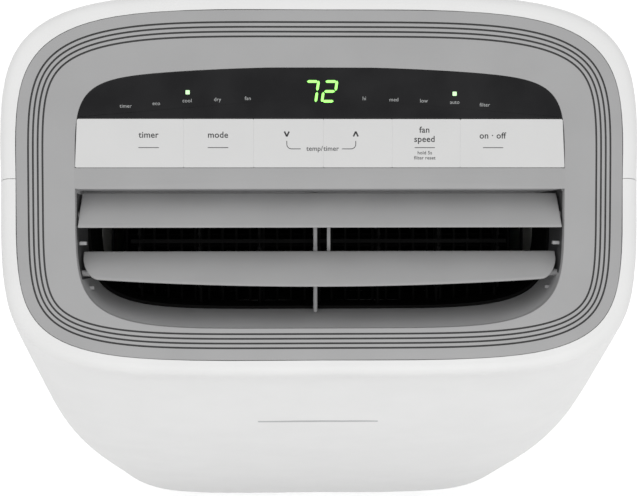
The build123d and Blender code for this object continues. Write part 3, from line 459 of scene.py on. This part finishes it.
def makeLabels():
    for words, u, v in labels["window"]:
        name = "window_label_" + words
        makeLabel(name, words, (u, v), labels["windowSize"], labelDim, "housing", "key_white")
    for words, key, u, v, size, align in labels["key"]:
        name = "key_label_" + "".join(ch for ch in words if ch.isalnum()) + "_" + key
        tone = labelDark if size > 5 else labelGrey
        makeLabel(name, words, (u, v), size, tone, "key_" + key, "duct_black", align, size * labels["weight"])
    for arrow in labels["arrows"]:
        makeArrow(*arrow)
    height, half, width = labels["underline"]
    for key, u in labels["underlines"]:
        bar = Shape()
        stroke(bar, [(u - half, height), (u + half, height)], width)
        finishObject("underline_" + key, bar, labelGrey, "key_" + key, "duct_black")


readout = {"text": "72", "height": 16.4, "width": 8.8, "pitch": 13.4, "stroke": 2.1, "slant": 0.14,
           "gap": 0.45, "share": 0.92, "centre": (-0.4, 68.6)}
segments = {"7": "abc", "2": "abged"}


def makeReadout():
    # seven-segment bars with pointed ends, leaned by the slant; gap is between bars, share thins the stroke
    r = readout
    h, b, t = r["height"] / 2, r["width"] / 2, r["stroke"] / 2
    ends = {"a": ((-b, h), (b, h)), "b": ((b, h), (b, 0)), "c": ((b, 0), (b, -h)), "d": ((-b, -h), (b, -h)),
            "e": ((-b, 0), (-b, -h)), "g": ((-b, 0), (b, 0))}
    lit = Shape()
    for k, digit in enumerate(r["text"]):
        for name in segments[digit]:
            p, q = np.array(ends[name], float)
            along = (q - p) / np.linalg.norm(q - p)
            p, q = p + along * r["gap"], q - along * r["gap"]
            across = np.array([-along[1], along[0]]) * t * r["share"]
            near, far = p + along * t, q - along * t
            bar = np.array([p, near - across, far - across, q, far + across, near + across])
            if name in "ad":
                bar[:, 1] -= np.sign(bar[:, 1].mean()) * t
            bar[:, 0] += bar[:, 1] * r["slant"] + r["centre"][0] + (k - 0.5) * r["pitch"]
            bar[:, 1] += r["centre"][1]
            lit.plate(resample(bar, 30), [(0, 0.04), (0, 0.08)])
    finishObject("readout_digits", lit, lampGreen, "housing", "lamp")


lamps = {"places": (("cool", -96.6, 67.8), ("auto", 97.5, 67.0)), "half": 1.5, "round": 0.4}


def makeLamps():
    # small square lenses, domed a little
    half = lamps["half"]
    for name, u, v in lamps["places"]:
        square = [(u - half, v - half), (u + half, v - half), (u + half, v + half), (u - half, v + half)]
        outline = roundedPolygon(square, lamps["round"], 32)
        shape = Shape().plate(outline, [(0, 0.03), (0.15, 0.08), (0.6, 0.12)])
        finishObject("lamp_" + name, shape, lampPale, "housing", "lamp")


makeWindow()
makeKeys()
makeLabels()
makeReadout()
makeLamps()
print("controls done")

# ---- louvre blades ----
# in (v, w): pivots, with lip, heel and link lug as offsets from them; ears and pins by their place in u
blades = {
    "upper": {"pivot": (-20.8, -14.0), "halfTop": 176.4, "halfLip": 176.9},
    "lower": {"pivot": (-64.1, -14.0), "halfTop": 175.6, "halfLip": 166.0},
    "lip": (-8.8, 13.2), "heel": (16.2, -5.3), "crown": 1.5, "thick": 2.2, "lug": (-6.0, -13.0),
    "bow": 0.18, "corner": 4, "cornerTop": 0.93, "cornerPower": 2.2, "endRound": 0.8, "flare": 25,
    "eye": 3, "earChord": (8, 20), "earHalf": 2.2, "ears": (("pivot", -165.5), ("pivot", 163.5), ("lug", 2.6)),
    "pins": (("pivot", -181, -165.5, 2.4), ("pivot", 165.5, 181, 2.4), ("lug", 4.6, 8.2, 1.3)),
}


def bladeFrame(name):
    # pivot, lip and heel with the unit vectors along the chord and out of the blade's face
    pivot = np.array(blades[name]["pivot"])
    lip, heel = pivot + blades["lip"], pivot + blades["heel"]
    chord = (heel - lip) / np.linalg.norm(heel - lip)
    return pivot, lip, heel, chord, np.array([-chord[1], chord[0]])


def bladeProfile(lip, heel, chord, out, start, count=44):
    # a closed strip: crowned outer face, round lip and heel, and the inner face one thickness below
    length = np.linalg.norm(heel - lip)
    t = blades["thick"] / 2
    half = count // 2
    q = (1 - np.cos(np.linspace(0, pi, half))) / 2
    s = start * length + q * length * (1 - start)
    rise = blades["crown"] * (1 - (2 * s / length - 1) ** 2) - t
    fromEnd = np.minimum(1, np.minimum(s - s[0], s[-1] - s) / t)
    body = np.minimum(1.0, np.sqrt(np.maximum(0, 1 - (1 - fromEnd) ** 2)))
    outer = lip + s[:, None] * chord + (rise + t * body)[:, None] * out
    inner = lip + s[:, None] * chord + (rise - t * body)[:, None] * out
    return np.vstack([outer, inner[::-1][1:-1]])


def lipStart(name, u):
    # how far up the chord the lower edge stands: bowed, with rounded corners, on the lower blade only
    if name == "upper":
        return np.zeros_like(u)
    edge, start = blades["lower"]["halfTop"], blades["lower"]["halfLip"] - blades["corner"]
    top, bow = blades["cornerTop"], blades["bow"] * (u / start) ** 2
    corner = np.clip((np.abs(u) - start) / (edge - start), 0, 1)
    rise = 1 - np.sqrt(np.maximum(0, 1 - corner ** blades["cornerPower"]))
    return np.minimum(top, bow + (top - bow) * rise)


def sidePlace(points):
    # an outline in (v, w) raised along u
    return panelToRow(np.stack([points[..., 2], points[..., 0], points[..., 1]], -1))


def makeBlade(name):
    # the strip's profile carried along u, flattened round at both ends, then its ears and pins
    pivot, lip, heel, chord, out = bladeFrame(name)
    edge, endRound, earHalf = blades[name]["halfTop"], blades["endRound"], np.array([blades["earHalf"], 0])
    u = -edge * np.cos(np.linspace(0, pi, 121))
    rings = []
    for value, start in zip(u, lipStart(name, u)):
        profile = bladeProfile(lip, heel, chord, out, start)
        squeeze = min(1.0, np.sqrt(max(0.02, 1 - max(0.0, (abs(value) - edge + endRound) / endRound) ** 2)))
        drop = (profile - profile.mean(0)) @ out
        profile = profile - np.outer(drop * (1 - squeeze), out)
        across = np.full(len(profile), value)
        if name == "upper":
            towardsLip = np.clip((heel[0] - profile[:, 0]) / blades["flare"], 0, 1)
            across = value * (1 + (blades[name]["halfLip"] / edge - 1) * towardsLip)
        rings.append(np.column_stack([across, profile]))
    shape = Shape().rings(panelToRow(np.stack(rings)))
    ear = [lip + chord * k - out * 0.4 for k in blades["earChord"]]
    centres = {"pivot": pivot, "lug": pivot + np.array(blades["lug"])}
    for place, u0 in blades["ears"]:
        tip = centres[place]
        shape.plate(circle(tip, blades["eye"], 20), [(0, u0), (0, u0 + 2.0), (0.3, u0 + 2.2)], sidePlace)
        web = roundedPolygon([ear[0], tip - earHalf, tip + earHalf, ear[1]], 0.8, 48)
        area = np.sum(web[:, 0] * np.roll(web[:, 1], -1) - web[:, 1] * np.roll(web[:, 0], -1))
        web = web if area > 0 else web[::-1]
        shape.plate(web, [(0, u0 + 0.1), (0, u0 + 1.7), (0.2, u0 + 1.9)], sidePlace)
    for place, u0, u1, radius in blades["pins"]:
        pin = circle(centres[place], radius, 24)
        shape.plate(pin, [(0.4, u0), (0, u0 + 0.4), (0, u1 - 0.4), (0.4, u1)], sidePlace)
    node = "louvre_" + name
    finishObject("louvre_blade_" + name, shape, bladeGrey, node, "blade_grey", node)


makeBlade("upper")
makeBlade("lower")

# ---- the recess behind the blades ----
# mouth, floor: half width, top, bottom, depth; cheek: u and v limits of the side walls painted dark as shade;
# rib: u and v; tabs: place and half sizes
recess = {"mouth": (178.5, -2.2, -104.2, -7.0), "floor": (176.4, -5.0, -93.4, -42.0), "wall": 1.8,
          "cheek": (165, -66, -3.5), "rib": (-5.0, -2.0, -95.5, -4.6), "ribTop": -31.0,
          "tabs": ((175.2, -42.0, -14.0, 2.6, 1.3, 2.0), (170.8, -75.2, -19.0, 2.8, 1.2, 1.6))}


def outletOutline(half, top, low, count=300):
    # flat along the top, superellipse round the bottom
    a = np.linspace(pi, 2 * pi, 900)
    p = field["bottomPower"]
    reach = top - low
    r = (np.abs(np.cos(a) / half) ** p + np.abs(np.sin(a) / reach) ** p) ** (-1 / p)
    return resample(np.stack([r * np.cos(a), top + r * np.sin(a)], -1), count)


def recessRing(t, grow):
    # the way from the mouth, t = 0, to the floor, t = 1, in straight lines, grown outwards on all sides
    half, top, low, w = (a + (b - a) * t for a, b in zip(recess["mouth"], recess["floor"]))
    return level(outletOutline(half + grow, top + grow, low - grow), w)


def makeRecess():
    # a tapering wall with its cheeks painted dark as shade, the rib across it and the stop tabs
    r = recess
    stages = np.linspace(0, 1, 8)
    inner = [recessRing(t, 0.0) for t in stages]
    outer = [recessRing(t, r["wall"]) for t in stages[::-1]]
    rings = np.stack(inner + outer)
    mouth = rings[0]
    # faces on the side walls within these limits take the near-black finish: painted shade
    inwards, low, high = r["cheek"]
    cheek = np.zeros(rings.shape[:2], int)
    cheek[:len(inner), (np.abs(mouth[:, 0]) > inwards) & (mouth[:, 1] < high) & (mouth[:, 1] > low)] = 1
    shape = Shape().rings(panelToRow(rings), loop=True, slots=cheek.ravel())
    left, right, low, high = r["rib"]
    rib = roundedPolygon([(left, low), (right, low), (right, high), (left, high)], 0.9, 80)
    top = r["ribTop"]
    shape.plate(rib, [(0, r["floor"][3]), (0, top - 0.9), (0.25, top - 0.3), (0.8, top)])
    for u, v, w, du, dv, dw in r["tabs"]:
        for side in (-1, 1):
            x0, x1 = sorted((side * (u - du), side * (u + du)))
            tab = roundedPolygon([(x0, v - dv), (x1, v - dv), (x1, v + dv), (x0, v + dv)], 0.4, 40)
            shape.plate(tab, [(0, w - dw), (0, w + dw - 0.3), (0.3, w + dw)])
    finishObject("outlet_recess", shape, (recessGrey, cheekGrey), "housing", "recess_grey", "outlet_surround")


makeRecess()
print("air outlet done")

# ---- the plain bar on the front wall ----
badge = {"z": 525.0, "halfWidth": 49.5, "halfHeight": 1.5, "proud": 0.35, "reach": 8}


def makeBadge():
    # a thin rounded bar laid on the plane through two points of the wall, one above and one below it
    z, w, h = badge["z"], badge["halfWidth"], badge["halfHeight"]
    proud, reach = badge["proud"], badge["reach"]
    wall = nodes["front_shell"]
    below, above = (wall.ray_cast((0, -1, (z + dz) * mm), (0, 1, 0))[1].y / mm for dz in (-reach, reach))
    lean = (above - below) / (2 * reach)
    foot = (below + above) / 2
    place = lambda p: rowPoints(np.stack([p[..., 0], foot + lean * p[..., 1] - p[..., 2], z + p[..., 1]], -1))
    outline = roundedPolygon([(-w, -h), (w, -h), (w, h), (-w, h)], 1.2, 160)
    shape = Shape().plate(outline, [(0, -0.2), (0, proud - 0.12), (0.12, proud), (0.5, proud)], place)
    finishObject("front_bar", shape, badgeGrey, "housing", "blade_grey")


makeBadge()

# ---- casters ----
# face is (radius, depth under the wheel's side) from the hub's bore to the tread
casters = {"radius": 15.5, "width": 15.0, "trail": 12.0, "round": 2.4,
           "face": ((3.1, 0.6), (5.2, 0.6), (5.6, 1.0), (5.8, 2.4), (11.3, 2.4), (11.6, 1.9), (11.8, 0.2),
                    (12.1, 0)),
           "places": {"front_left": (-160, -112), "front_right": (160, -112), "rear_left": (-160, 106),
                      "rear_right": (160, 106)}}


def makeWheel(name, place):
    # half profile (radius, offset along the axle) turned about the axle: tread, sunken face and hub
    r, h, k = casters["radius"], casters["width"] / 2, casters["round"]
    arc = np.linspace(0, pi / 2, 7)
    half = [(reach, h - sunk) for reach, sunk in casters["face"]]
    half += [(r - k + k * np.sin(t), h - k + k * np.cos(t)) for t in arc]
    right = half + [(r, 1.2), (r - 0.7, 0.9), (r - 0.7, 0.0)]
    profile = np.array(right + [(reach, -x) for reach, x in right[::-1][1:]])
    a = np.linspace(0, 2 * pi, 96, endpoint=False)
    reach, offset = profile[:, 0][:, None], profile[:, 1][:, None]
    x = place[0] + offset + 0 * a
    y = place[1] + casters["trail"] + reach * np.cos(a)
    z = r + reach * np.sin(a)
    shape = Shape().rings(rowPoints(np.stack([x, y, z], -1)), loop=True)
    node = "caster_wheel_" + name
    finishObject("wheel_" + name, shape, rubberBlack, node, "rubber_black", node, angle=40)


for wheelName, wheelPlace in casters["places"].items():
    makeWheel(wheelName, wheelPlace)
print("casters done")

# ---- floor, light and camera ----
# sky strength overhead and at the horizon; lights as place, target, size and power; discs as radius and height
studio = {"zenith": 0.92, "horizon": 0.64, "floorGlow": 0.4,
          "floor": (6.0, -0.0002), "shadeCard": (0.75, -0.002),
          "keyLight": ((-0.9, 0.9, 2.6), (0, 0, 0.6), 1.6, 3.5),
          "fillLight": ((0.3, -2.0, 1.6), (0, 0, 0.6), 1.6, 12.5)}


def makeStage():
    # two discs of three rings each: the pale floor, and a black card just below it that dims the bounce
    pale = glow("floorPale", (0.93, 0.93, 0.93), studio["floorGlow"])
    count = 64
    last, middle = 2 * count, 3 * count
    faces = [tuple(int(k) for k in f) for f in ringFaces(3, count)]
    faces += [(last + j, last + (j + 1) % count, middle) for j in range(count)]
    for name, material in (("floor", pale), ("shadeCard", ductBlack)):
        radius, height = studio[name]
        mesh = bpy.data.meshes.new(name)
        points = np.vstack([level(circle((0, 0), radius * share, count), height) for share in (1.0, 0.5, 0.1)])
        mesh.from_pydata(np.vstack([points, [0, 0, height]]).tolist(), [], faces)
        mesh.materials.append(material)
        disc = bpy.data.objects.new(name, mesh)
        bpy.context.scene.collection.objects.link(disc)
        # rays that would bounce off the floor go on to the card or the sky
        disc.visible_diffuse = name != "floor"
        disc.visible_shadow = name != "floor"


def makeSky():
    # white, with its strength rising from the horizon to the zenith
    world = bpy.data.worlds.new("studio")
    bpy.context.scene.world = world
    world.use_nodes = True
    tree = world.node_tree
    place = tree.nodes.new("ShaderNodeTexCoord")
    split = tree.nodes.new("ShaderNodeSeparateXYZ")
    sky = tree.nodes.new("ShaderNodeMapRange")
    sky.inputs["To Min"].default_value = studio["horizon"]
    sky.inputs["To Max"].default_value = studio["zenith"]
    tree.links.new(place.outputs["Generated"], split.inputs["Vector"])
    tree.links.new(split.outputs["Z"], sky.inputs["Value"])
    tree.links.new(sky.outputs["Result"], tree.nodes["Background"].inputs["Strength"])
    tree.nodes["Background"].inputs["Color"].default_value = (1, 1, 1, 1)
    bpy.context.scene.view_settings.view_transform = "Standard"


def addLight(name):
    place, aim, size, power = studio[name]
    light = bpy.data.lights.new(name, "AREA")
    light.size, light.energy = size, power
    obj = bpy.data.objects.new(name, light)
    obj.location = place
    obj.rotation_mode = "QUATERNION"
    obj.rotation_quaternion = (Vector(aim) - Vector(place)).to_track_quat("-Z", "Y")
    bpy.context.scene.collection.objects.link(obj)


cameraFacts = {"place": (-0.0215, -0.3814, 1.5043), "elevation": 70.06, "turn": 3.97, "roll": 3.63,
               "lens": 67.8}


def makeCamera():
    data = bpy.data.cameras.new("camera")
    data.lens, data.sensor_width = cameraFacts["lens"], 36.0
    data.clip_start, data.clip_end = 0.02, 50
    obj = bpy.data.objects.new("camera", data)
    # looks down by elevation and sideways by turn, then rolls about its own line of sight
    e, turn, roll = (radians(cameraFacts[k]) for k in ("elevation", "turn", "roll"))
    forward = Vector((sin(turn) * cos(e), cos(turn) * cos(e), -sin(e)))
    level = Vector((cos(turn), -sin(turn), 0))
    right = cos(roll) * level + sin(roll) * level.cross(forward)
    obj.location = cameraFacts["place"]
    obj.rotation_mode = "QUATERNION"
    obj.rotation_quaternion = Matrix((right, right.cross(forward), -forward)).transposed().to_quaternion()
    bpy.context.scene.collection.objects.link(obj)
    bpy.context.scene.camera = obj


makeStage()
makeSky()
addLight("keyLight")
addLight("fillLight")
makeCamera()
print("stage done")
